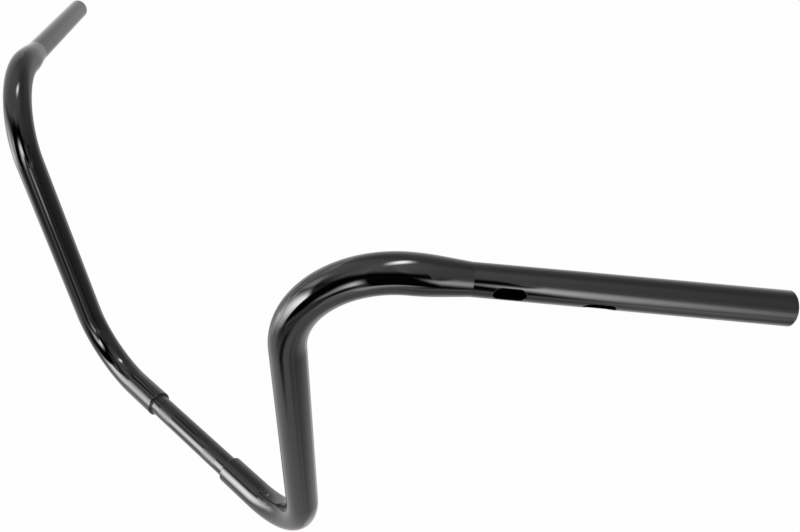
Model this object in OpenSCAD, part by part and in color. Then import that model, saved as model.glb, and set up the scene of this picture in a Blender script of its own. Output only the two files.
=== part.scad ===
// Ape hanger handlebar, in millimetres.
// A clamp tube runs through the risers. A wider arm tube is sleeved over each of its ends, welded
// round its mouth, bent up into a leg and bent again, outward and back, into a grip.
// The origin is the middle of the clamp tube's axis. +X is the rider's right, +Y is forward and
// +Z is up. Both legs lie in the XZ plane, and the grips sweep back towards -Y.

/* [Clamp tube] */
// Outer diameter of the clamp tube, a 1 inch tube
clamp_d = 25.4; // [22:0.1:28]
// Wall of the clamp tube
clamp_wall = 3; // [2:0.1:4.5]
// Clear width of clamp tube between the mouths of the two arms
clamp_w = 142.2; // [100:0.2:220]
// Length of clamp tube held inside each arm
sleeve_depth = 38; // [20:1:50]
// Radial gap between the clamp tube and the bore of the arm that it slides into
sleeve_gap = 0.125; // [0.05:0.025:0.3]
// Chamfer at the ends of the clamp tube
clamp_chamfer = 1; // [0.2:0.1:1.5]
// Length of the wire outlet in the underside of the clamp tube
outlet_len = 32; // [14:1:60]
// Width of the wire outlet
outlet_w = 12; // [6:0.5:15]

/* [Arms] */
// Outer diameter of the arms, a 1 1/4 inch tube
arm_d = 31.75; // [30:0.05:38]
// Radius of the rounded outer edge at the mouth of each arm
mouth_round = 1.5; // [0.3:0.1:1.8]
// Centreline radius of every bend, set by one bending die
bend_r = 85; // [60:1:110]
// Straight stretch from an arm's mouth to its first bend
base_run = 48.1; // [44:0.1:90]
// Angle of the first bend, which turns the arm up into the leg
base_bend = 86; // [75:0.5:95]
// Straight stretch of leg between the two bends
leg_run = 224.5; // [60:0.5:330]
// Angle of the second bend, which turns the leg into the grip
top_bend = 96; // [80:0.5:110]
// Turn of the second bend about the leg, from straight outward towards the rear
pullback = 42; // [0:1:75]
// How much the tube's radius draws in round a bend
draw_in = 0.02; // [0.01:0.01:0.2]

/* [Grips] */
// Outer diameter of the grips, a 1 inch seat for controls
grip_d = 25.4; // [22:0.1:28]
// Wall of the grips
grip_wall = 3.05; // [2:0.05:4]
// Straight stretch of full-size tube between the second bend and the swage
swage_run = 10.5; // [2:0.5:40]
// Length of the swage that narrows the arm to the grip
swage_len = 32.5; // [15:0.5:60]
// Length of the grip from the swage to the bar's end
grip_len = 218.5; // [150:0.5:280]
// Chamfer round both edges of the bar's end
end_chamfer = 0.5; // [0.1:0.1:1.2]

/* [Wire slots] */
// Length of each wire slot along the grip
slot_len = 23; // [12:0.5:28]
// Width of each wire slot
slot_w = 11; // [5:0.5:13]
// Distance from the swage to the middle of the inner slot
slot_at = 26; // [16:0.5:60]
// Distance between the middles of the two slots
slot_pitch = 63.5; // [36:0.5:80]
// Place of the inner slot round the grip, from the inside of the bend towards the front
inner_slot_angle = 87; // [0:1:180]
// Place of the outer slot round the grip, from the inside of the bend towards the front
outer_slot_angle = 58; // [0:1:180]

/* [Welds] */
// Leg of the fillet weld in the corner between an arm's mouth and the clamp tube
weld_leg = 1.3; // [0.5:0.1:1.4]
// Bulge of the weld's face past a flat fillet
weld_bulge = 0.15; // [0:0.05:0.3]

/* [Hidden] */
$fn = 96;

paint = [0.03, 0.03, 0.035];
bead = [0.06, 0.06, 0.07];

clamp_r = clamp_d / 2;
clamp_half = clamp_w / 2 + sleeve_depth;
arm_r = arm_d / 2;
arm_bore_r = clamp_r + sleeve_gap;
grip_r = grip_d / 2;
grip_bore_r = grip_r - grip_wall;
// Cutters run this far past the faces that they open
over = 1;
// Bends run this far into the straight tube at each end
lap = 1;
// Steps in a quarter turn of a small rounded edge
round_steps = 6;

// Round bar along Z with a chamfer at each end, for the outside of a tube
module chamfered_bar(r, len, chamfer) {
    rotate_extrude()
        polygon([
            [0, 0],
            [r - chamfer, 0],
            [r, chamfer],
            [r, len - chamfer],
            [r - chamfer, len],
            [0, len]
        ]);
}

// Cutter for an obround hole, its length along Z, which leaves the tube's axis towards +X
module obround_cutter(len, w, reach) {
    rotate([0, 90, 0])
        linear_extrude(reach)
            union() {
                square([len - w, w], center = true);
                for (end = [-1, 1])
                    translate([end * (len - w) / 2, 0])
                        circle(d = w);
            }
}

// Puts its children at the mouth of the right arm, with +Z into the arm and +X up
module at_mouth() {
    translate([clamp_w / 2, 0, 0])
        rotate([0, 90, 0])
            rotate([0, 0, 180])
                children();
}

// Moves its children past a bend that turns from +Z towards +X, by a turn about the bend's centre
module past_bend(angle) {
    translate([bend_r, 0, 0])
        rotate([0, angle, 0])
            translate([-bend_r, 0, 0])
                children();
}

// Puts its children at the foot of the leg, with +Z up the leg and +X inward
module at_leg() {
    at_mouth()
        translate([0, 0, base_run])
            past_bend(base_bend)
                children();
}

// Puts its children at the top of the leg, with +X the way that the second bend turns
module at_top() {
    at_leg()
        translate([0, 0, leg_run])
            rotate([0, 0, 180 - pullback])
                children();
}

// Puts its children just past the second bend, with +Z along the grip and +X to its underside
module at_tail() {
    at_top()
        past_bend(top_bend)
            children();
}

// Puts its children where the swage ends and the grip starts
module at_grip() {
    at_tail()
        translate([0, 0, swage_run + swage_len])
            children();
}

// Solid bend of a round bar from +Z towards +X: the part of a ring between the plane of its start
// and the plane of its end, and a little past each, so that it laps into the straight bar there
module bend(angle, r) {
    span = 2 * (bend_r + r + lap);
    intersection() {
        translate([bend_r, 0, 0])
            rotate([90, 0, 0])
                rotate_extrude()
                    translate([bend_r, 0])
                        circle(r - draw_in);
        translate([bend_r - span / 2, -span / 2, -lap])
            cube(span);
        past_bend(angle)
            translate([bend_r - span / 2, -span / 2, lap - span])
                cube(span);
    }
}

// Both bends and the leg of the right arm as a solid bar
module bent_bar(r) {
    at_mouth()
        translate([0, 0, base_run])
            bend(base_bend, r);
    at_leg()
        cylinder(r = r, h = leg_run);
    at_top()
        bend(top_bend, r);
}

// Mouth stretch of the arm as a solid bar, with its outer edge rounded
module mouth_bar() {
    rotate_extrude()
        polygon(concat(
            [[0, base_run], [0, 0]],
            [for (i = [0:round_steps])
                let (a = 90 * i / round_steps)
                [arm_r - mouth_round * (1 - sin(a)), mouth_round * (1 - cos(a))]],
            [[arm_r, base_run]]
        ));
}

// Swage and grip as a solid bar: full size, then narrowed, then straight to the bar's end.
// flare widens or narrows its end over end_chamfer, and the bar runs extra past that end.
module tail_bar(r, tip_r, flare, extra) {
    grip_start = swage_run + swage_len;
    tip = grip_start + grip_len;
    rotate_extrude()
        polygon([
            [0, 0],
            [r, 0],
            [r, swage_run],
            [tip_r, grip_start],
            [tip_r, tip - end_chamfer],
            [tip_r + flare, tip],
            [tip_r + flare, tip + extra],
            [0, tip + extra]
        ]);
}

// Right arm: outside less bore, with two wire slots in the front of the grip
module arm() {
    slots = [[slot_at, inner_slot_angle], [slot_at + slot_pitch, outer_slot_angle]];
    difference() {
        union() {
            at_mouth()
                mouth_bar();
            bent_bar(arm_r);
            at_tail()
                tail_bar(arm_r, grip_r, -end_chamfer, 0);
        }
        union() {
            at_mouth()
                translate([0, 0, -over])
                    cylinder(r = arm_bore_r, h = base_run + over);
            bent_bar(arm_bore_r);
            at_tail()
                tail_bar(arm_bore_r, grip_bore_r, end_chamfer, over);
        }
        for (slot = slots)
            at_grip()
                translate([0, 0, slot[0]])
                    rotate([0, 0, slot[1]])
                        obround_cutter(slot_len, slot_w, grip_r + over);
    }
}

// Fillet weld round the clamp tube, against the mouth of the right arm
module weld() {
    corner = clamp_r;
    at_mouth()
        rotate_extrude()
            polygon(concat(
                [[corner, 0]],
                [for (i = [0:round_steps])
                    let (t = i / round_steps, swell = 4 * weld_bulge * t * (1 - t) / sqrt(2))
                    [corner + weld_leg * (1 - t) + swell, -weld_leg * t - swell]]
            ));
}

module centre_tube() {
    color(paint)
        difference() {
            translate([-clamp_half, 0, 0])
                rotate([0, 90, 0])
                    chamfered_bar(clamp_r, 2 * clamp_half, clamp_chamfer);
            translate([-clamp_half - over, 0, 0])
                rotate([0, 90, 0])
                    cylinder(r = clamp_r - clamp_wall, h = 2 * (clamp_half + over));
            rotate([0, 90, 0])
                obround_cutter(outlet_len, outlet_w, clamp_r + over);
        }
}

module right_arm() {
    color(paint)
        arm();
}

module left_arm() {
    color(paint)
        mirror([1, 0, 0])
            arm();
}

module right_weld() {
    color(bead)
        weld();
}

module left_weld() {
    color(bead)
        mirror([1, 0, 0])
            weld();
}

centre_tube();
left_arm();
right_arm();
left_weld();
right_weld();
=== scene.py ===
"""Looks of a tall motorcycle handlebar: gloss black tubes with a knurled clamp section."""

import logging
import math
from collections.abc import Callable
from dataclasses import dataclass
from enum import Enum
from typing import Any, Union

import bpy
import numpy as np
from mathutils import Matrix, Vector
from mathutils.geometry import delaunay_2d_cdt


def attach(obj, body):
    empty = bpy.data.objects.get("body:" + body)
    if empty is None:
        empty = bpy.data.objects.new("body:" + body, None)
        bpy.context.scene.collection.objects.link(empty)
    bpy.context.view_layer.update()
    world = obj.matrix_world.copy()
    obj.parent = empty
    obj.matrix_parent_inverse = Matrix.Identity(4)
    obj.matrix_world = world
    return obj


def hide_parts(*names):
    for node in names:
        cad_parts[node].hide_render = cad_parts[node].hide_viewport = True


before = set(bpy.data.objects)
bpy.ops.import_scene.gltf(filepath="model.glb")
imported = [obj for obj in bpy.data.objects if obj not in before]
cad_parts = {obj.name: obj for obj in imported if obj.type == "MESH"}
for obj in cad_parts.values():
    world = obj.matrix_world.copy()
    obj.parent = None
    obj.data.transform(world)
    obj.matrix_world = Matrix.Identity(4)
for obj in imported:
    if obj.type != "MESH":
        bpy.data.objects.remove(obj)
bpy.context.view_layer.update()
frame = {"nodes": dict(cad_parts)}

LOG = logging.getLogger("handlebar")
MM = 0.001
BODY = "root"
PAINT = "gloss_black_paint"
JOIN_STEPS = 1e4  # points that agree to one part in this of a millimetre become one
MESH_EPSILON = 1e-6  # millimetres under which two points of a pierced sheet are the same
DEGREES = 180 / math.pi


class Side(Enum):
    """Which of the two arms a piece belongs to, as the sign of its X."""

    LEFT = -1
    RIGHT = 1


class Value:
    """A number that a shader works out, with Python's operators for Math nodes."""

    def __init__(self, graph: "Graph", socket: bpy.types.NodeSocket) -> None:
        """Wraps one output socket of a node in the given graph."""
        self.graph = graph
        self.socket = socket

    def _math(self, operation: str, *terms: "Term") -> "Value":
        """Adds a Math node of the given operation, with the given terms as its inputs."""
        return self.graph.node("ShaderNodeMath", {"operation": operation}, dict(enumerate(terms)))

    def __add__(self, other: "Term") -> "Value":
        """Sum."""
        return self._math("ADD", self, other)

    __radd__ = __add__

    def __mul__(self, other: "Term") -> "Value":
        """Product."""
        return self._math("MULTIPLY", self, other)

    __rmul__ = __mul__

    def __sub__(self, other: "Term") -> "Value":
        """Difference."""
        return self._math("SUBTRACT", self, other)

    def __rsub__(self, other: "Term") -> "Value":
        """Difference, with this value as the second term."""
        return self._math("SUBTRACT", other, self)

    def __truediv__(self, other: "Term") -> "Value":
        """Quotient."""
        return self._math("DIVIDE", self, other)

    def __rtruediv__(self, other: "Term") -> "Value":
        """Quotient, with this value as the divisor."""
        return self._math("DIVIDE", other, self)

    def __abs__(self) -> "Value":
        """Distance from zero."""
        return self._math("ABSOLUTE", self)

    def apply(self, operation: str, *others: "Term") -> "Value":
        """Any other Math operation, such as ARCCOSINE, on this value and what it needs."""
        return self._math(operation, self, *others)

    def within(self, half: float, soft: float) -> "Value":
        """1 where this value is under half and 0 beyond it, with a soft edge.

        Args:
            half: the value at the middle of the edge.
            soft: half the edge's width.

        Returns:
            The share, from 0 to 1.
        """
        settings = {"interpolation_type": "SMOOTHSTEP"}
        inputs = {"Value": self, "From Min": half - soft, "From Max": half + soft}
        return 1.0 - self.graph.node("ShaderNodeMapRange", settings, inputs, "Result")


Term = Union[Value, float]
Pair = tuple[float, float]


class Graph:
    """A node tree under construction."""

    def __init__(self, tree: bpy.types.NodeTree) -> None:
        """Empties the given tree, to fill it anew."""
        tree.nodes.clear()
        self.tree = tree

    def node(
        self,
        kind: str,
        settings: dict[str, Any] | None = None,
        inputs: dict[str | int, Any] | None = None,
        output: str | int = 0,
    ) -> Value:
        """Adds a node.

        Args:
            kind: the node's type.
            settings: its own properties, which are set before its sockets.
            inputs: a value or a link for each named or numbered socket.
            output: the socket to hand back.

        Returns:
            The chosen output.
        """
        made = self.tree.nodes.new(kind)
        for name, value in (settings or {}).items():
            setattr(made, name, value)
        for name, value in (inputs or {}).items():
            self.feed(made.inputs[name], value)
        return Value(self, made.outputs[output] if len(made.outputs) else None)

    def feed(self, socket: bpy.types.NodeSocket, value: Any) -> None:
        """Links a socket, or sets its own value where it isn't given a link.

        Args:
            socket: the input socket.
            value: a link, a number, a colour or a vector.
        """
        if isinstance(value, Value):
            self.tree.links.new(value.socket, socket)
        else:
            socket.default_value = value

    def blend(self, start: Term, end: Term, share: Value) -> Value:
        """A number that goes from start to end as share goes from 0 to 1."""
        return share * (end - start) + start


@dataclass(frozen=True)
class GlossPaint:
    """Black powder coat with a deep gloss.

    Attributes:
        colour: the paint's own colour, which hardly shows under its gloss.
        shade: share by which the colour varies from place to place.
        ior: the clear gloss's refractive index.
        roughness: how blurred its reflections are.
        roughness_drift: how much that varies from place to place.
        drift_scale: how many patches of both lie along a metre.
        peel_size: size of the paint's faint waves in millimetres.
        peel_height: height of those waves in millimetres.
    """

    colour: tuple[float, float, float] = (0.001, 0.001, 0.0011)
    shade: float = 0.2
    ior: float = 1.5
    roughness: float = 0.03
    roughness_drift: float = 0.02
    drift_scale: float = 22.0
    peel_size: float = 10.0
    peel_height: float = 0.0003

    def material(self) -> bpy.types.Material:
        """Builds the paint.

        Returns:
            The material.
        """
        made = bpy.data.materials.new(PAINT)
        made.use_nodes = True
        graph = Graph(made.node_tree)
        place = graph.node("ShaderNodeTexCoord", output="Object")
        drift, waves = (
            graph.node(
                "ShaderNodeTexNoise", inputs={"Vector": place, "Scale": scale, "Detail": detail}
            )
            for scale, detail in ((self.drift_scale, 3.0), (1.0 / (self.peel_size * MM), 1.0))
        )
        bump = graph.node(
            "ShaderNodeBump",
            inputs={"Strength": 1.0, "Distance": self.peel_height * MM, "Height": waves},
        )
        dark, light = (
            (*(share * c for c in self.colour), 1.0) for share in (1 - self.shade, 1 + self.shade)
        )
        shade = graph.node(
            "ShaderNodeMix", {"data_type": "RGBA"}, {0: drift, 6: dark, 7: light}, output=2
        )
        skin = graph.node(
            "ShaderNodeBsdfPrincipled",
            inputs={
                "Base Color": shade,
                "Roughness": (drift - 0.5) * self.roughness_drift + self.roughness,
                "IOR": self.ior,
                "Normal": bump,
            },
        )
        graph.node("ShaderNodeOutputMaterial", inputs={"Surface": skin})
        return made


class MeshDraft:
    """Sheets of faces with their own normals, joined into one mesh where their points meet."""

    def __init__(self) -> None:
        """Starts empty."""
        self.points: list[np.ndarray] = []
        self.normals: list[np.ndarray] = []
        self.faces: list[np.ndarray] = []
        self.count = 0

    def add(self, points: np.ndarray, normals: np.ndarray, faces: np.ndarray) -> None:
        """Adds a sheet.

        Args:
            points: its points, one a row, in millimetres.
            normals: the surface's direction at each point.
            faces: point numbers, three or four a row.
        """
        self.points.append(points)
        self.normals.append(normals)
        self.faces.append(faces + self.count)
        self.count += len(points)

    def add_rows(self, points: np.ndarray, normals: np.ndarray) -> None:
        """Adds a sheet of quads between closed rings of points.

        Args:
            points: rings by columns by three, in millimetres.
            normals: the same shape.
        """
        rows, columns = points.shape[:2]
        i, j = np.meshgrid(np.arange(rows - 1), np.arange(columns), indexing="ij")
        k = (j + 1) % columns
        corners = [i * columns + j, i * columns + k, (i + 1) * columns + k, (i + 1) * columns + j]
        faces = np.stack(corners, axis=-1).reshape(-1, 4)
        self.add(points.reshape(-1, 3), normals.reshape(-1, 3), faces)

    def build(self, name: str, mirror: bool = False) -> bpy.types.Object:
        """Joins the sheets into an object.

        Args:
            name: the object's name.
            mirror: whether X changes sign.

        Returns:
            The object, linked to the scene.
        """
        points = np.concatenate(self.points)
        normals = np.concatenate(self.normals)
        if mirror:
            points = points * [-1, 1, 1]
            normals = normals * [-1, 1, 1]
        normals = normals / np.linalg.norm(normals, axis=1, keepdims=True)
        _, first, joined = np.unique(
            np.round(points * JOIN_STEPS).astype(np.int64),
            axis=0, return_index=True, return_inverse=True,
        )
        joined = joined.ravel()
        faces: list[list[int]] = []
        corner_normals: list[np.ndarray] = []
        for corners in self.faces:
            outward = normals[corners].sum(axis=1)
            edge_a = points[corners[:, 1]] - points[corners[:, 0]]
            edge_b = points[corners[:, -1]] - points[corners[:, 0]]
            turned = np.einsum("ij,ij->i", np.cross(edge_a, edge_b), outward) < 0
            corners = np.where(turned[:, None], corners[:, ::-1], corners)
            linked = joined[corners]
            order = np.sort(linked, axis=1)
            whole = (np.diff(order, axis=1) > 0).all(axis=1)
            faces.extend(linked[whole].tolist())
            corner_normals.append(normals[corners[whole]].reshape(-1, 3))
        mesh = bpy.data.meshes.new(name)
        mesh.from_pydata((points[first] * MM).tolist(), [], faces)
        mesh.polygons.foreach_set("use_smooth", np.ones(len(faces), dtype=bool))
        mesh.normals_split_custom_set(np.concatenate(corner_normals))
        mesh.update()
        made = bpy.data.objects.new(name, mesh)
        bpy.context.scene.collection.objects.link(made)
        return made


@dataclass(frozen=True)
class Section:
    """A place along a tube's path.

    Attributes:
        frame: moves a point from the tube's own frame there, +Z along it, into the object's.
        twist: angle of the first point of a ring in that frame, in radians.
    """

    frame: np.ndarray
    twist: float = 0.0

    def place(self, local: np.ndarray) -> np.ndarray:
        """Moves local points into the object's frame."""
        return local @ self.frame[:3, :3].T + self.frame[:3, 3]

    def turn(self, local: np.ndarray) -> np.ndarray:
        """Turns local directions into the object's frame."""
        return local @ self.frame[:3, :3].T

    def ahead(self, distance: float) -> "Section":
        """The place a distance further along a straight tube."""
        return Section(self.frame @ shift(0, 0, distance), self.twist)

    def bent(self, bend_r: float, angle: float) -> "Section":
        """The place past a bend towards +X, by its radius at the tube's middle and its radians."""
        move = shift(bend_r, 0, 0) @ rotation("Y", angle) @ shift(-bend_r, 0, 0)
        return Section(self.frame @ move, self.twist)

    def turned(self, angle: float) -> "Section":
        """The same place with +X turned round the tube, and the ring's points where they were."""
        return Section(self.frame @ rotation("Z", angle), self.twist - angle)


def shift(x: float, y: float, z: float) -> np.ndarray:
    """A move by x, y and z."""
    return np.array(Matrix.Translation((x, y, z)), dtype=float)


def rotation(axis: str, angle: float) -> np.ndarray:
    """A turn about one axis, in radians, worked out at full precision."""
    c, s = math.cos(angle), math.sin(angle)
    made = np.eye(4)
    i, j = {"X": (1, 2), "Y": (2, 0), "Z": (0, 1)}[axis]
    made[i, i] = made[j, j] = c
    made[i, j], made[j, i] = -s, s
    return made


@dataclass(frozen=True)
class Obround:
    """A slot through one wall of a tube, with its length along the tube.

    Attributes:
        middle: distance of its middle along the straight tube.
        length: its length.
        width: its width.
        angle: its place round the tube, in radians.
        rim: radius of its rounded outer edge.
        steps: points in each round end of its outline.
        spacing: distance between points on its straight sides.
    """

    middle: float
    length: float
    width: float
    angle: float
    rim: float = 0.55
    steps: int = 28
    spacing: float = 1.2

    @property
    def half(self) -> float:
        """Half the length of its straight sides."""
        return (self.length - self.width) / 2

    def outline(self, swell: float) -> tuple[np.ndarray, np.ndarray]:
        """The slot's outline, seen straight on.

        Args:
            swell: how far outside the slot's own edge it runs.

        Returns:
            Its points as (along, across) and their outward directions.
        """
        directions, points = [], []
        for end in (1, -1):
            for t in np.linspace(-math.pi / 2, math.pi / 2, self.steps):
                direction = np.array([end * math.cos(t), end * math.sin(t)])
                directions.append(direction)
                points.append([end * self.half, 0] + direction * (self.width / 2 + swell))
        straight = round(2 * self.half / self.spacing)
        points, directions = np.array(points), np.array(directions)
        filled_points, filled_directions = [], []
        for k in range(len(points)):
            after = (k + 1) % len(points)
            filled_points.append(points[k])
            filled_directions.append(directions[k])
            if (k + 1) % self.steps == 0:
                for t in range(1, straight):
                    share = t / straight
                    filled_points.append(points[k] * (1 - share) + points[after] * share)
                    filled_directions.append(directions[k])
        return np.array(filled_points), np.array(filled_directions)

    def reach(self, aside: np.ndarray, along: np.ndarray, radius: float) -> np.ndarray:
        """How far points of a round surface lie from the slot's middle line, seen straight on.

        Args:
            aside: their distances from the slot's middle, round the surface.
            along: their distances along the tube.
            radius: the surface's radius.

        Returns:
            The distances.
        """
        across = np.sin(aside / radius) * radius
        across = np.where(np.abs(aside) > radius * math.pi / 2, radius, across)
        past = np.maximum(np.abs(along - self.middle) - self.half, 0)
        return np.hypot(past, across)


class TubeSkin:
    """Builds the surfaces of round tubes, ring by ring.

    Attributes:
        gap: distance that a surface's own points keep from a slot's edge.
        rim_rows: rows of points across a slot's rounded rim.
    """

    gap: float = 0.35
    rim_rows: int = 7

    def __init__(self, draft: MeshDraft, around: int) -> None:
        """Sets the mesh to add to and the number of points in each ring."""
        self.draft = draft
        self.around = around

    def ring(self, section: Section, along: float, radius: float, lean: float) -> tuple:
        """One ring of points.

        Args:
            section: the place that it is measured from.
            along: its distance further along the tube.
            radius: its radius.
            lean: angle of the surface's direction from straight out towards +Z, in radians.

        Returns:
            The ring's points and directions.
        """
        theta = 2 * math.pi * np.arange(self.around) / self.around + section.twist
        flat = np.stack([np.cos(theta), np.sin(theta), np.zeros_like(theta)], axis=1)
        points = flat * radius + [0, 0, along]
        directions = flat * math.cos(lean) + [0, 0, math.sin(lean)]
        return section.place(points), section.turn(directions)

    def sheet(self, rings: list[tuple]) -> None:
        """Joins rings into a sheet."""
        points = np.stack([ring[0] for ring in rings])
        directions = np.stack([ring[1] for ring in rings])
        self.draft.add_rows(points, directions)

    def pierced(
        self, section: Section, start: float, end: float, radius: float, slot: Obround,
        swell: float, inside: bool, row: float = 1.6,
    ) -> None:
        """Adds a straight stretch of surface with a slot in it.

        Args:
            section: the place that distances are measured from.
            start: where the stretch starts.
            end: where it ends.
            radius: the surface's radius.
            slot: the slot.
            swell: how far outside the slot's own edge the surface stops.
            inside: whether the surface is the tube's bore.
            row: distance between its rows of points.
        """
        step = 2 * math.pi / self.around
        seam = round((slot.angle + math.pi - section.twist) / step)
        cut = section.twist + step * seam
        theta = section.twist + step * (seam + np.arange(self.around + 1))
        unrolled = radius * (theta - cut - math.pi)
        skew = cut - math.pi - slot.angle
        heights = np.linspace(start, end, round((end - start) / row) + 1)
        outline, _ = slot.outline(swell)
        hole_u = radius * (np.arcsin(outline[:, 1] / radius) - skew - 2 * math.pi)
        hole_u = (hole_u + math.pi * radius) % (2 * math.pi * radius) - math.pi * radius
        hole = np.stack([hole_u, outline[:, 0] + slot.middle], axis=1)
        middle_u = hole_u.mean()
        grid_u, grid_z = np.meshgrid(unrolled, heights)
        grid = np.stack([grid_u.ravel(), grid_z.ravel()], axis=1)
        hole_half = slot.width / 2 + swell
        clear = slot.reach(grid[:, 0] - middle_u, grid[:, 1], radius) > hole_half + self.gap
        edge = (grid[:, 1] <= start) | (grid[:, 1] >= end)
        grid = grid[clear | edge]
        flat = np.concatenate([hole, grid])
        count = len(hole)
        loops = [(k, (k + 1) % count) for k in range(count)]
        found = delaunay_2d_cdt([Vector(p) for p in flat], loops, [], 0, MESH_EPSILON)
        source = np.array([origin[0] for origin in found[3]])
        faces = source[np.array(found[2])]
        centre = flat[faces].mean(axis=1)
        faces = faces[slot.reach(centre[:, 0] - middle_u, centre[:, 1], radius) > hole_half]
        turn = flat[:, 0] / radius + cut + math.pi
        direction = np.stack([np.cos(turn), np.sin(turn), np.zeros_like(turn)], axis=1)
        points = direction * radius + np.stack([0 * turn, 0 * turn, flat[:, 1]], axis=1)
        sign = -1 if inside else 1
        self.draft.add(section.place(points), section.turn(direction * sign), faces)

    def slot_wall(self, section: Section, outer: float, inner: float, slot: Obround) -> None:
        """Adds a slot's rounded rim and its wall, from the outside to the bore.

        Args:
            section: the place that the slot is measured from.
            outer: the tube's outer radius.
            inner: its bore's radius.
            slot: the slot.
        """
        rows: list[tuple[np.ndarray, np.ndarray]] = []
        turn = rotation("Z", slot.angle)[:3, :3]
        for t in np.linspace(0, math.pi / 2, self.rim_rows):
            outline, away = slot.outline(slot.rim * (1 - math.sin(t)))
            depth = slot.rim * (1 - math.cos(t))
            up = np.sqrt(outer**2 - outline[:, 1] ** 2)
            local = np.stack([up - depth, outline[:, 1], outline[:, 0] + slot.middle], axis=1)
            radial = np.stack([up, outline[:, 1], 0 * up], axis=1) / outer
            inward = np.stack([0 * up, -away[:, 1], -away[:, 0]], axis=1)
            direction = math.cos(t) * radial + math.sin(t) * inward
            rows.append((local, direction))
        outline, away = slot.outline(0)
        up = np.sqrt(inner**2 - outline[:, 1] ** 2)
        local = np.stack([up, outline[:, 1], outline[:, 0] + slot.middle], axis=1)
        rows.append((local, rows[-1][1]))
        points = np.stack([section.place(local @ turn.T) for local, _ in rows])
        directions = np.stack([section.turn(direction @ turn.T) for _, direction in rows])
        self.draft.add_rows(points, directions)


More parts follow.
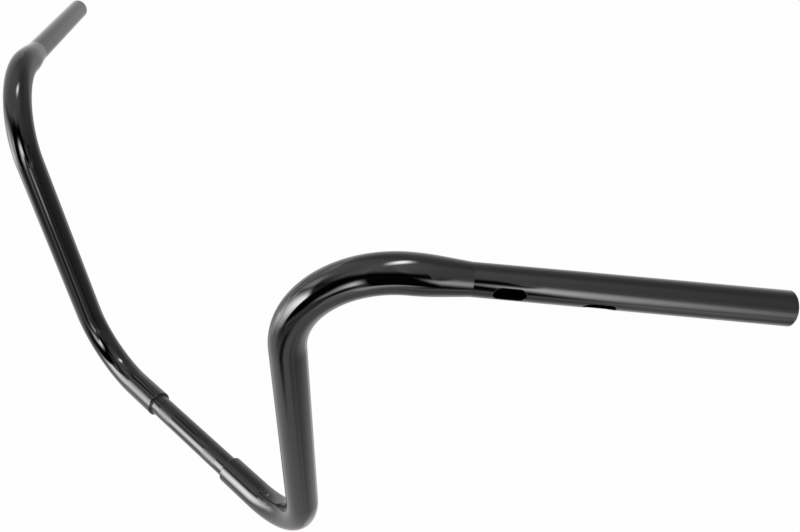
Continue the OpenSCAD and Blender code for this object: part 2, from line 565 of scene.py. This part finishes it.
@dataclass
class Arm:
    """One bent tube: mouth, base bend, leg, top bend, swage and slotted grip, in millimetres.

    Attributes:
        side: which arm it is.
        clamp_w: distance between the two arms' mouths.
        outer_r: radius outside, a hair under nominal as in the CAD bends.
        bore_r: radius of the bore.
        grip_r: radius of the grip outside.
        grip_bore_r: radius of the grip's bore.
        mouth_round: radius of the mouth's outer edge.
        bend_r: radius of both bends.
        base_run: straight from the mouth to the first bend.
        base_bend: angle of the first bend, in degrees.
        leg_run: straight leg.
        top_bend: angle of the second bend, in degrees.
        pullback: how far the second bend is turned to the rear, in degrees.
        swage_run: straight from the second bend to the swage.
        swage_len: length of the swage.
        swage_ease: how far its rounded shoulder reaches to each side of its start.
        grip_len: straight grip.
        end_chamfer: chamfer of the bar's end.
        slots: the two wire slots, measured from the grip's start.
        slot_margin: length of grip beyond each slot's ends that is made with it.
        around: points in each ring.
        bend_step: distance between rings in a bend outside.
        bore_step: the same in the bore.
        grip_step: the same on the grip before each slot.
        run_rings: rings on the base's straight and on the swage.
        leg_rings: rings on the leg.
        end_rings: rings on the grip beyond its slots.
        edge_rows: rings across the mouth's rounded edge.
        ease_rows: rings across the swage's shoulder.
    """

    side: Side
    clamp_w: float = 142.2
    outer_r: float = 15.855
    bore_r: float = 12.825
    grip_r: float = 12.7
    grip_bore_r: float = 9.65
    mouth_round: float = 1.5
    bend_r: float = 85.0
    base_run: float = 48.1
    base_bend: float = 86.0
    leg_run: float = 224.5
    top_bend: float = 96.0
    pullback: float = 42.0
    swage_run: float = 10.5
    swage_len: float = 32.5
    swage_ease: float = 10.0
    grip_len: float = 218.5
    end_chamfer: float = 0.5
    slots: tuple[Obround, Obround] = (
        Obround(26.0, 23.0, 11.0, math.radians(87)),
        Obround(89.5, 23.0, 11.0, math.radians(58)),
    )
    slot_margin: float = 4.0
    around: int = 192
    bend_step: float = 2.0
    bore_step: float = 6.0
    grip_step: float = 12.0
    run_rings: int = 8
    leg_rings: int = 18
    end_rings: int = 12
    edge_rows: int = 11
    ease_rows: int = 14

    @property
    def name(self) -> str:
        """The arm's name in words."""
        return self.side.name.lower() + "_arm"

    def mouth(self) -> Section:
        """The arm's mouth, with +Z into the arm and +X up."""
        start = shift(self.clamp_w / 2, 0, 0) @ rotation("Y", math.pi / 2)
        return Section(start @ rotation("Z", math.pi))

    def leg(self) -> Section:
        """The foot of the leg."""
        return self.mouth().ahead(self.base_run).bent(self.bend_r, math.radians(self.base_bend))

    def top(self) -> Section:
        """The top of the leg, with +X the way that the second bend turns."""
        return self.leg().ahead(self.leg_run).turned(math.radians(180 - self.pullback))

    def tail(self) -> Section:
        """Just past the second bend."""
        return self.top().bent(self.bend_r, math.radians(self.top_bend))

    def grip(self) -> Section:
        """Where the grip starts."""
        return self.tail().ahead(self.swage_run + self.swage_len)

    def bar_rings(self, skin: TubeSkin, radius: float, lean: float, fine: float) -> list[tuple]:
        """Rings from the mouth stretch to the start of the swage.

        Args:
            skin: makes the rings.
            radius: their radius.
            lean: direction of the surface, 0 outside and pi in the bore.
            fine: distance between rings in a bend.

        Returns:
            The rings.
        """
        first = self.mouth_round if lean == 0 else 0.0
        base = self.mouth().ahead(self.base_run)
        rings = [
            skin.ring(self.mouth(), z, radius, lean)
            for z in np.linspace(first, self.base_run, self.run_rings)[:-1]
        ]
        rings += self.bend_rings(skin, base, self.base_bend, radius, lean, fine)
        rings += [
            skin.ring(self.leg(), z, radius, lean)
            for z in np.linspace(0, self.leg_run, self.leg_rings)[:-1]
        ]
        return rings + self.bend_rings(skin, self.top(), self.top_bend, radius, lean, fine)

    def bend_rings(
        self, skin: TubeSkin, start: Section, angle: float, radius: float, lean: float, fine: float
    ) -> list[tuple]:
        """Rings of one bend, apart from its last.

        Args:
            skin: makes the rings.
            start: where the bend starts.
            angle: how far it turns, in degrees.
            radius: the rings' radius.
            lean: direction of the surface.
            fine: distance between rings.

        Returns:
            The rings.
        """
        whole = math.radians(angle)
        turns = round(whole * self.bend_r / fine)
        places = [start.bent(self.bend_r, whole * k / turns) for k in range(turns)]
        return [skin.ring(place, 0, radius, lean) for place in places]

    def outside(self, skin: TubeSkin) -> None:
        """Adds the painted outside, from the mouth to the bar's end."""
        mouth, tail, grip = self.mouth(), self.tail(), self.grip()
        edge = self.mouth_round
        lip = self.outer_r - edge
        skin.sheet([skin.ring(mouth, 0, r, -math.pi / 2) for r in (self.bore_r, lip)])
        skin.sheet([
            skin.ring(mouth, edge * (1 - math.cos(a)), lip + edge * math.sin(a), a - math.pi / 2)
            for a in np.linspace(0, math.pi / 2, self.edge_rows)
        ])
        rings = self.bar_rings(skin, self.outer_r, 0, self.bend_step)
        taper = math.atan2(self.outer_r - self.grip_r, self.swage_len)
        ease = self.swage_ease
        blend_r = ease / math.tan(taper / 2)
        for z in (0, self.swage_run - ease):
            rings.append(skin.ring(tail, z, self.outer_r, 0))
        for a in np.linspace(0, taper, self.ease_rows)[1:]:
            z = self.swage_run - ease + blend_r * math.sin(a)
            rings.append(skin.ring(tail, z, self.outer_r - blend_r * (1 - math.cos(a)), a))
        reach = ease * math.cos(taper)
        for z in np.linspace(reach, self.swage_len, self.run_rings)[1:]:
            r = self.outer_r - math.tan(taper) * z
            rings.append(skin.ring(tail, self.swage_run + z, r, taper))
        skin.sheet(rings)
        self.grip_surface(skin, grip, self.grip_r, False)
        tip, cut = self.grip_len, self.end_chamfer
        corners = [
            (tip - cut, self.grip_r), (tip, self.grip_r - cut),
            (tip, self.grip_bore_r + cut), (tip - cut, self.grip_bore_r),
        ]
        for k, lean in enumerate((math.pi / 4, math.pi / 2, math.pi * 3 / 4)):
            skin.sheet([skin.ring(grip, z, r, lean) for z, r in corners[k:k + 2]])

    def grip_surface(self, skin: TubeSkin, grip: Section, radius: float, inside: bool) -> None:
        """Adds the straight surface of the grip, with its slots.

        Args:
            skin: makes the surface.
            grip: where the grip starts.
            radius: the surface's radius.
            inside: whether it is the bore.
        """
        lean = math.pi if inside else 0.0
        here = 0.0
        for slot in self.slots:
            start = slot.middle - slot.length / 2 - self.slot_margin
            end = slot.middle + slot.length / 2 + self.slot_margin
            steps = round((start - here) / self.grip_step) + 1
            skin.sheet([skin.ring(grip, z, radius, lean) for z in np.linspace(here, start, steps)])
            swell = 0.0 if inside else slot.rim
            skin.pierced(grip, start, end, radius, slot, swell, inside)
            here = end
        last = np.linspace(here, self.grip_len - self.end_chamfer, self.end_rings)
        skin.sheet([skin.ring(grip, z, radius, lean) for z in last])

    def bore(self, skin: TubeSkin) -> None:
        """Adds the bore and the walls of the slots."""
        rings = self.bar_rings(skin, self.bore_r, math.pi, self.bore_step)
        for z in (0, self.swage_run):
            rings.append(skin.ring(self.tail(), z, self.bore_r, math.pi))
        rings.append(skin.ring(self.grip(), 0, self.grip_bore_r, math.pi))
        skin.sheet(rings)
        self.grip_surface(skin, self.grip(), self.grip_bore_r, True)
        for slot in self.slots:
            skin.slot_wall(self.grip(), self.grip_r, self.grip_bore_r, slot)

    def build(self, paint: bpy.types.Material) -> None:
        """Builds and paints the arm in place of its CAD node.

        Args:
            paint: the finish.
        """
        draft = MeshDraft()
        skin = TubeSkin(draft, self.around)
        self.outside(skin)
        self.bore(skin)
        made = draft.build(self.name + "_tube", mirror=self.side is Side.LEFT)
        dress(made, paint, self.name)


@dataclass
class ClampTube:
    """The thin tube between the arms, with two knurled bands, in millimetres.

    Attributes:
        radius: outside.
        bore_r: inside.
        half: half its whole length.
        chamfer: chamfer of each end.
        band_at: distance of each band's middle from the tube's middle.
        band_w: width of a band.
        teeth: knurl teeth round the tube.
        tooth_len: length of a tooth along the tube.
        tooth_depth: depth of the grooves between the teeth.
        tooth_flat: how far the teeth's tops are flat, where 1 is a point.
        fade: length over which the grooves run out at each side of a band.
        outlet: the wiring outlet in its underside.
        outlet_margin: length of tube beyond each end of the outlet that is made with it.
        seat_rings: places of two rings between a band and the tube's end.
        around: points in each ring.
        tooth_rows: rows of points along a tooth.
    """

    radius: float = 12.7
    bore_r: float = 9.7
    half: float = 109.1
    chamfer: float = 1.0
    band_at: float = 44.45
    band_w: float = 24.0
    teeth: int = 56
    tooth_len: float = 1.6
    tooth_depth: float = 0.1
    tooth_flat: float = 1.5
    fade: float = 0.5
    outlet: Obround = Obround(0.0, 32.0, 12.0, 0.0, rim=0.5)
    outlet_margin: float = 5.0
    seat_rings: tuple[float, float] = (60.0, 70.0)
    around: int = 336
    tooth_rows: int = 6

    def axis(self) -> Section:
        """The tube's middle, with +Z along it and +X down."""
        return Section(rotation("Y", math.pi / 2))

    def groove(self, theta: np.ndarray, x: np.ndarray) -> np.ndarray:
        """Depth of the knurl's crossing grooves.

        Args:
            theta: angle round the tube.
            x: distance along it from the band's middle.

        Returns:
            How far the surface lies under the teeth's tops.
        """
        turn = self.teeth * theta / (2 * math.pi)
        run = x / self.tooth_len
        ridge = [np.abs(2 * ((turn + s * run) % 1.0) - 1) for s in (1, -1)]
        height = np.minimum(np.minimum(*ridge) * self.tooth_flat, 1.0)
        inset = self.band_w / 2 - np.abs(x)
        return self.tooth_depth * (1 - height) * np.clip(inset / self.fade, 0, 1)

    def band(self, skin: TubeSkin, start: float, end: float) -> None:
        """Adds one knurled band.

        Args:
            skin: makes the surface.
            start: where the band starts along the tube.
            end: where it ends.
        """
        rows = round((end - start) / (self.tooth_len / self.tooth_rows)) + 1
        x = np.linspace(start, end, rows)[:, None]
        theta = (2 * math.pi * np.arange(skin.around) / skin.around)[None, :]
        middle = (start + end) / 2
        step = 0.05
        deep = self.groove(theta, x - middle)
        turn = step / self.radius
        ahead = self.groove(theta, x - middle + step) - self.groove(theta, x - middle - step)
        aside = self.groove(theta + turn, x - middle) - self.groove(theta - turn, x - middle)
        slope_x, slope_t = ahead / (2 * step), aside / (2 * step)
        theta = theta + 0 * x
        out = np.stack([np.cos(theta), np.sin(theta), 0 * theta], axis=-1)
        side = np.stack([-np.sin(theta), np.cos(theta), 0 * theta], axis=-1)
        points = out * (self.radius - deep)[..., None]
        points[..., 2] = x
        direction = out + side * slope_t[..., None]
        direction[..., 2] += slope_x
        axis = self.axis()
        skin.draft.add_rows(axis.place(points), axis.turn(direction))

    def build(self, paint: bpy.types.Material) -> None:
        """Builds and paints the tube in place of its CAD node.

        Args:
            paint: the finish.
        """
        draft = MeshDraft()
        skin = TubeSkin(draft, self.around)
        axis = self.axis()
        near = self.band_at - self.band_w / 2
        far = self.band_at + self.band_w / 2
        hole = self.outlet.length / 2 + self.outlet_margin
        last = self.half - self.chamfer
        for s in (-1, 1):
            skin.sheet([skin.ring(axis, s * z, self.radius, 0) for z in (hole, near)])
            self.band(skin, *sorted((s * near, s * far)))
            plain = (far, *self.seat_rings, last)
            skin.sheet([skin.ring(axis, s * z, self.radius, 0) for z in plain])
            tips = [(last, self.radius), (self.half, self.radius - self.chamfer)]
            skin.sheet([skin.ring(axis, s * z, r, s * math.pi / 4) for z, r in tips])
            ends = (self.radius - self.chamfer, self.bore_r)
            skin.sheet([skin.ring(axis, s * self.half, r, s * math.pi / 2) for r in ends])
            skin.sheet([skin.ring(axis, s * z, self.bore_r, math.pi) for z in (hole, self.half)])
        skin.pierced(axis, -hole, hole, self.radius, self.outlet, self.outlet.rim, False)
        skin.pierced(axis, -hole, hole, self.bore_r, self.outlet, 0.0, True, row=3.0)
        skin.slot_wall(axis, self.radius, self.bore_r, self.outlet)
        made = draft.build("clamp_tube_knurled")
        dress(made, paint, "centre_tube")


@dataclass
class Weld:
    """The fillet bead round the clamp tube at one arm's mouth, in millimetres.

    Attributes:
        side: which arm it is on.
        at: distance of the mouth from the bar's middle.
        tube_r: radius of the clamp tube.
        leg: leg of the fillet.
        bulge: how far its face swells past flat.
        ripples: waves round the bead.
        ripple: depth of a wave.
        slant: angle by which a wave turns across the bead, in radians.
        around: points in each ring.
        rows: rings across the bead's face.
    """

    side: Side
    at: float = 71.1
    tube_r: float = 12.7
    leg: float = 1.3
    bulge: float = 0.15
    ripples: int = 52
    ripple: float = 0.12
    slant: float = 0.02
    around: int = 416
    rows: int = 9

    @property
    def name(self) -> str:
        """The weld's name in words."""
        return self.side.name.lower() + "_weld"

    def surface(self, theta: np.ndarray, t: np.ndarray) -> np.ndarray:
        """Points of the bead's face.

        Args:
            theta: angle round the tube.
            t: share of the way from the arm's mouth to the clamp tube.

        Returns:
            The points, in the mouth's frame.
        """
        wave = self.ripple * (0.5 + 0.5 * np.cos(self.ripples * (theta + self.slant * t)))
        swell = (4 * self.bulge - 4 * wave) * t * (1 - t) / math.sqrt(2)
        r = self.tube_r + self.leg * (1 - t) + swell
        z = -self.leg * t - swell
        return np.stack([r * np.cos(theta), r * np.sin(theta), z + 0 * theta], axis=-1)

    def build(self, paint: bpy.types.Material) -> None:
        """Builds and paints the bead in place of its CAD node.

        Args:
            paint: the finish.
        """
        theta = (2 * math.pi * np.arange(self.around) / self.around)[None, :]
        t = np.linspace(0, 1, self.rows)[:, None]
        theta, t = theta + 0 * t, t + 0 * theta
        points = self.surface(theta, t)
        step = 1e-4
        along = self.surface(theta, t + step) - self.surface(theta, t - step)
        across = self.surface(theta + step, t) - self.surface(theta - step, t)
        direction = np.cross(along, across)
        outward = np.stack([np.cos(theta), np.sin(theta), -np.ones_like(theta)], axis=-1)
        sign = np.sign((direction * outward).sum(axis=-1, keepdims=True))
        mouth = Section(shift(self.at, 0, 0) @ rotation("Y", math.pi / 2) @ rotation("Z", math.pi))
        draft = MeshDraft()
        draft.add_rows(mouth.place(points), mouth.turn(direction * sign))
        skin = TubeSkin(draft, self.around)
        ends = (self.tube_r, self.tube_r + self.leg)
        skin.sheet([skin.ring(mouth, 0, r, math.pi / 2) for r in ends])
        skin.sheet([skin.ring(mouth, z, self.tube_r, math.pi) for z in (-self.leg, 0)])
        made = draft.build(self.name + "_bead", mirror=self.side is Side.LEFT)
        dress(made, paint, self.name)


def dress(piece: bpy.types.Object, paint: bpy.types.Material, node: str) -> None:
    """Paints a piece and puts it in the place of a CAD node.

    Args:
        piece: the new piece.
        paint: its finish.
        node: the CAD node that it stands for.
    """
    piece.data.materials.append(paint)
    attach(piece, BODY)
    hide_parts(node)
    LOG.info("%s for %s: %d faces", piece.name, node, len(piece.data.polygons))


def board(
    name: str, half_width: float, half_length: float, finish: bpy.types.Material
) -> bpy.types.Object:
    """Makes a flat rectangle about the origin, as part of the studio.

    Args:
        name: the rectangle's name.
        half_width: half its width, in metres.
        half_length: half its length, in metres.
        finish: its material.

    Returns:
        The rectangle, linked to the scene.
    """
    mesh = bpy.data.meshes.new(name)
    signs = ((-1, -1), (1, -1), (1, 1), (-1, 1))
    corners = [(x * half_width, y * half_length, 0) for x, y in signs]
    mesh.from_pydata(corners, [], [(0, 1, 2, 3)])
    mesh.materials.append(finish)
    made = bpy.data.objects.new(name, mesh)
    bpy.context.scene.collection.objects.link(made)
    return made


def blended(
    name: str, shaders: tuple[str, str], inputs: tuple[dict[str, Any], dict[str, Any]],
    share: Callable[[Graph], Value],
) -> bpy.types.Material:
    """Makes a material that mixes two shaders.

    Args:
        name: the material's name.
        shaders: the two shaders' node types.
        inputs: the values of their sockets.
        share: works out the second one's share in the material's graph.

    Returns:
        The material.
    """
    made = bpy.data.materials.new(name)
    made.use_nodes = True
    graph = Graph(made.node_tree)
    first, second = (graph.node(kind, inputs=given) for kind, given in zip(shaders, inputs))
    mixed = graph.node("ShaderNodeMixShader", inputs={0: share(graph), 1: first, 2: second})
    graph.node("ShaderNodeOutputMaterial", inputs={"Surface": mixed})
    return made


@dataclass(frozen=True)
class Backdrop:
    """A far, soft-edged part of the studio's walls, by the directions that it fills.

    Attributes:
        name: what it stands for.
        toward: direction of its middle: degrees from +Y towards +X, and degrees up.
        half: half its width and half its height, in degrees.
        soft: half the width of its soft edges at the sides and at the ends, in degrees.
        glow: its brightness, where 1 is white and 0 is black.
    """

    name: str
    toward: Pair
    half: Pair
    soft: Pair
    glow: float

    def cover(self, aside: Value, along: Value) -> Value:
        """How much it hides, at these angles from its middle across and upward, in degrees."""
        return aside.within(self.half[0], self.soft[0]) * along.within(self.half[1], self.soft[1])


@dataclass(frozen=True)
class LightCard(Backdrop):
    """A soft box, a reflector or a black flag, which shows in the paint's reflections alone.

    Attributes:
        distance: its distance from the studio's middle, in metres.
        lean: slope of its sides.
        widest: the widest angle that a card fills to each side, in degrees.
    """

    distance: float
    lean: float = 0.0
    widest: float = 82.0

    def shape(self, graph: Graph) -> Value:
        """How much the card hides at each of its own points.

        Args:
            graph: the card's shader graph.

        Returns:
            The share, from 0 to 1.
        """
        place = graph.node("ShaderNodeTexCoord", output="Object")
        across, up = (
            (graph.node("ShaderNodeSeparateXYZ", inputs={"Vector": place}, output=name)
             / self.distance).apply("ARCTANGENT") * DEGREES
            for name in ("X", "Y")
        )
        return self.cover(abs(across - up * self.lean), abs(up))

    def build(self, middle: tuple[float, float, float]) -> None:
        """Stands the card in the studio, facing the middle and clear beyond its soft edges.

        Args:
            middle: the studio's middle, in metres.
        """
        turn, rise = (math.radians(angle) for angle in self.toward)
        away = Vector((
            math.sin(turn) * math.cos(rise), math.cos(turn) * math.cos(rise), math.sin(rise),
        ))
        right = Vector((math.cos(turn), -math.sin(turn), 0.0))
        tall = self.half[1] + self.soft[1]
        wide = self.half[0] + self.soft[0] + abs(self.lean) * tall
        size = (self.distance * math.tan(math.radians(min(a, self.widest))) for a in (wide, tall))
        finish = blended(
            self.name, ("ShaderNodeBsdfTransparent", "ShaderNodeEmission"),
            ({}, {"Strength": self.glow}), self.shape,
        )
        finish.cycles.emission_sampling = "NONE"
        made = board(self.name, *size, finish)
        spot = Matrix.Translation(Vector(middle) + away * self.distance)
        axes = Matrix((right, right.cross(away), -away))
        made.matrix_world = spot @ axes.transposed().to_4x4()
        made.visible_camera = made.visible_diffuse = made.visible_transmission = False
        made.visible_volume_scatter = made.visible_shadow = False


@dataclass
class Studio:
    """Pale surroundings, cards and flags that the paint reflects, and a pale floor.

    Attributes:
        room: brightness of the surroundings in reflections.
        plain: brightness of the light that falls on everything, where 1 is white.
        walls: parts of the walls that aren't plain, each laid over those before it.
        cards: the soft boxes, reflectors and flags.
        middle: the point that the cards face, in metres.
        floor_drop: depth of the floor under the object's origin, in metres.
        floor_size: half the floor's width, in metres.
        floor_tone: how pale the floor is, where 1 is white.
        floor_white: how far the floor is plain white to the camera, from 0 to 1.
    """

    room: float = 2.2
    plain: float = 0.9
    walls: tuple[Backdrop, ...] = (
        Backdrop("rear_left_wall", (-131, -23), (53, 45), (7, 39), 0.24),
        Backdrop("dim_ground", (22, -105), (144, 85), (64, 141), 0.32),
        Backdrop("dark_upper_rear", (160, 43), (115, 30), (155, 26), 0.08),
        Backdrop("grey_rear", (156, 130), (26, 269), (80, 124), 0.81),
        Backdrop("paper_behind_bar", (128, -40), (34, 22), (14, 14), 0.7),
    )
    cards: tuple[LightCard, ...] = (
        LightCard("far_window", (-32.5, 18), (24, 20.5), (18.5, 33), 20, distance=8, lean=0.4),
        LightCard("window_flag", (-36.5, 32), (25.5, 12.5), (0.5, 10), 0, distance=4),
        LightCard("tall_flag", (-4, 9), (18.5, 44), (9.5, 22), 0, distance=2.8, lean=-0.3),
        LightCard("right_window", (41.5, 16), (27.5, 19), (6.5, 23.5), 23, distance=2.5, lean=1.3),
        LightCard("overhead_lamp", (-133, 80.5), (6, 6.5), (6.5, 6), 51, distance=2.1, lean=0.7),
        LightCard("low_flag", (-27, -21), (8, 25), (6, 5), 0.1, distance=1.1, lean=-0.5),
        LightCard("low_lamp", (-42.5, -18), (8.5, 8), (7.5, 1.5), 4.8, distance=1.1, lean=-0.9),
        LightCard("side_lamp", (60.5, 9.5), (11, 17.5), (5.5, 24), 11, distance=1.1, lean=1.2),
        LightCard("left_flag", (-53, 6.5), (13.5, 47), (4, 34), 0, distance=1.1, lean=0.2),
        LightCard("side_grey", (84, 25), (24.5, 18.5), (0.5, 7.5), 1, distance=1, lean=0.4),
        LightCard("strip_lamp", (48.5, 18), (8.5, 2.5), (13.5, 48), 60, distance=1, lean=-0.1),
        LightCard("low_strip", (-51.5, -10.5), (39, 0), (3.5, 13.5), 2.5, distance=0.6, lean=-0.9),
        LightCard("top_flag", (-11.5, 40), (54.5, 9.5), (0.5, 15.5), 0, distance=0.6, lean=0.1),
        LightCard("dark_strip", (-35.5, -9), (16.5, 4.5), (1, 6), 0.3, distance=0.6, lean=0.3),
        LightCard("right_flag", (36.5, 19), (18.5, 25), (21, 47), 0, distance=0.6, lean=-0.2),
        LightCard("right_grey", (53.5, 50), (23, 58), (20.5, 35.5), 1.2, distance=0.6, lean=-0.2),
    )
    middle: tuple[float, float, float] = (0.0, -0.1, 0.2)
    floor_drop: float = 0.45
    floor_size: float = 60.0
    floor_tone: float = 0.85
    floor_white: float = 0.95

    def sky(self) -> None:
        """Builds the surroundings: plain, white to the camera, and the walls in reflections."""
        world = bpy.data.worlds.new("studio")
        world.use_nodes = True
        world.cycles.sampling_method = "NONE"
        bpy.context.scene.world = world
        graph = Graph(world.node_tree)
        look = graph.node("ShaderNodeTexCoord", output="Generated")
        x, y, z = (
            graph.node("ShaderNodeSeparateXYZ", inputs={"Vector": look}, output=name)
            for name in ("X", "Y", "Z")
        )
        spread = (x * x + y * y).apply("SQRT")
        height = z.apply("ARCSINE") * DEGREES
        glow: Term = self.room
        for wall in self.walls:
            middle = math.radians(wall.toward[0])
            turn = (x * math.sin(middle) + y * math.cos(middle)) / spread
            aside = turn.apply("MINIMUM", 1.0).apply("ARCCOSINE") * DEGREES
            glow = graph.blend(glow, wall.glow, wall.cover(aside, abs(height - wall.toward[1])))
        gloss, seen = (
            graph.node("ShaderNodeLightPath", output=name)
            for name in ("Is Glossy Ray", "Is Camera Ray")
        )
        level = graph.blend(graph.blend(self.plain, glow, gloss), 1.0, seen)
        back = graph.node(
            "ShaderNodeBackground", inputs={"Color": (1.0, 1.0, 1.0, 1.0), "Strength": level}
        )
        graph.node("ShaderNodeOutputWorld", inputs={"Surface": back})

    def seen_floor(self, graph: Graph) -> Value:
        """How far the floor is plain white to the ray that meets it."""
        return graph.node("ShaderNodeLightPath", output="Is Camera Ray") * self.floor_white

    def floor(self) -> None:
        """Lays the pale floor, which keeps the object's soft shadow."""
        finish = blended(
            "pale_floor", ("ShaderNodeBsdfDiffuse", "ShaderNodeEmission"),
            ({"Color": (*[self.floor_tone] * 3, 1.0)}, {"Strength": 1.0}), self.seen_floor,
        )
        made = board("floor", self.floor_size, self.floor_size, finish)
        made.location.z = -self.floor_drop
        made.visible_glossy = False

    def build(self) -> None:
        """Builds the surroundings, the floor and the cards."""
        self.sky()
        self.floor()
        for card in self.cards:
            card.build(self.middle)
        scene = bpy.context.scene
        # Without these, most rays end at random on the cards' clear rims, and streaks turn grainy.
        scene.cycles.min_light_bounces = 1
        scene.cycles.min_transparent_bounces = len(self.cards)
        scene.view_settings.view_transform = "Standard"


@dataclass(frozen=True)
class ViewPoint:
    """The photograph's viewpoint.

    Attributes:
        position: place of the camera, in metres.
        ahead: the direction in which it looks.
        right: the picture's rightward direction.
        lens: focal length, in millimetres.
        sensor: width of the sensor, in millimetres.
        shift_x: sideways shift of the frame.
        shift_y: upward shift of the frame.
        near: where the view starts, in metres.
    """

    position: tuple[float, float, float] = (-0.5883, 0.2692, 0.7681)
    ahead: tuple[float, float, float] = (0.6378, -0.4553, -0.6212)
    right: tuple[float, float, float] = (-0.6557, -0.7441, -0.1278)
    lens: float = 36.287
    sensor: float = 36.0
    shift_x: float = 0.16866
    shift_y: float = -0.02065
    near: float = 0.01

    def build(self) -> None:
        """Makes the camera and looks through it."""
        data = bpy.data.cameras.new("viewpoint")
        data.lens = self.lens
        data.sensor_width = self.sensor
        data.shift_x = self.shift_x
        data.shift_y = self.shift_y
        data.clip_start = self.near
        made = bpy.data.objects.new("viewpoint", data)
        ahead = Vector(self.ahead).normalized()
        right = Vector(self.right)
        right = (right - ahead * right.dot(ahead)).normalized()
        up = right.cross(ahead)
        turn = Matrix((right, up, -ahead)).transposed().to_4x4()
        made.matrix_world = Matrix.Translation(self.position) @ turn
        bpy.context.scene.collection.objects.link(made)
        bpy.context.scene.camera = made


def main() -> None:
    """Builds the camera, the studio and each piece of the bar."""
    logging.basicConfig(level=logging.INFO, format="%(name)s: %(message)s")
    ViewPoint().build()
    Studio().build()
    paint = GlossPaint().material()
    for part in (
        ClampTube(), Arm(Side.LEFT), Arm(Side.RIGHT), Weld(Side.LEFT), Weld(Side.RIGHT),
    ):
        part.build(paint)


if __name__ == "__main__":
    main()
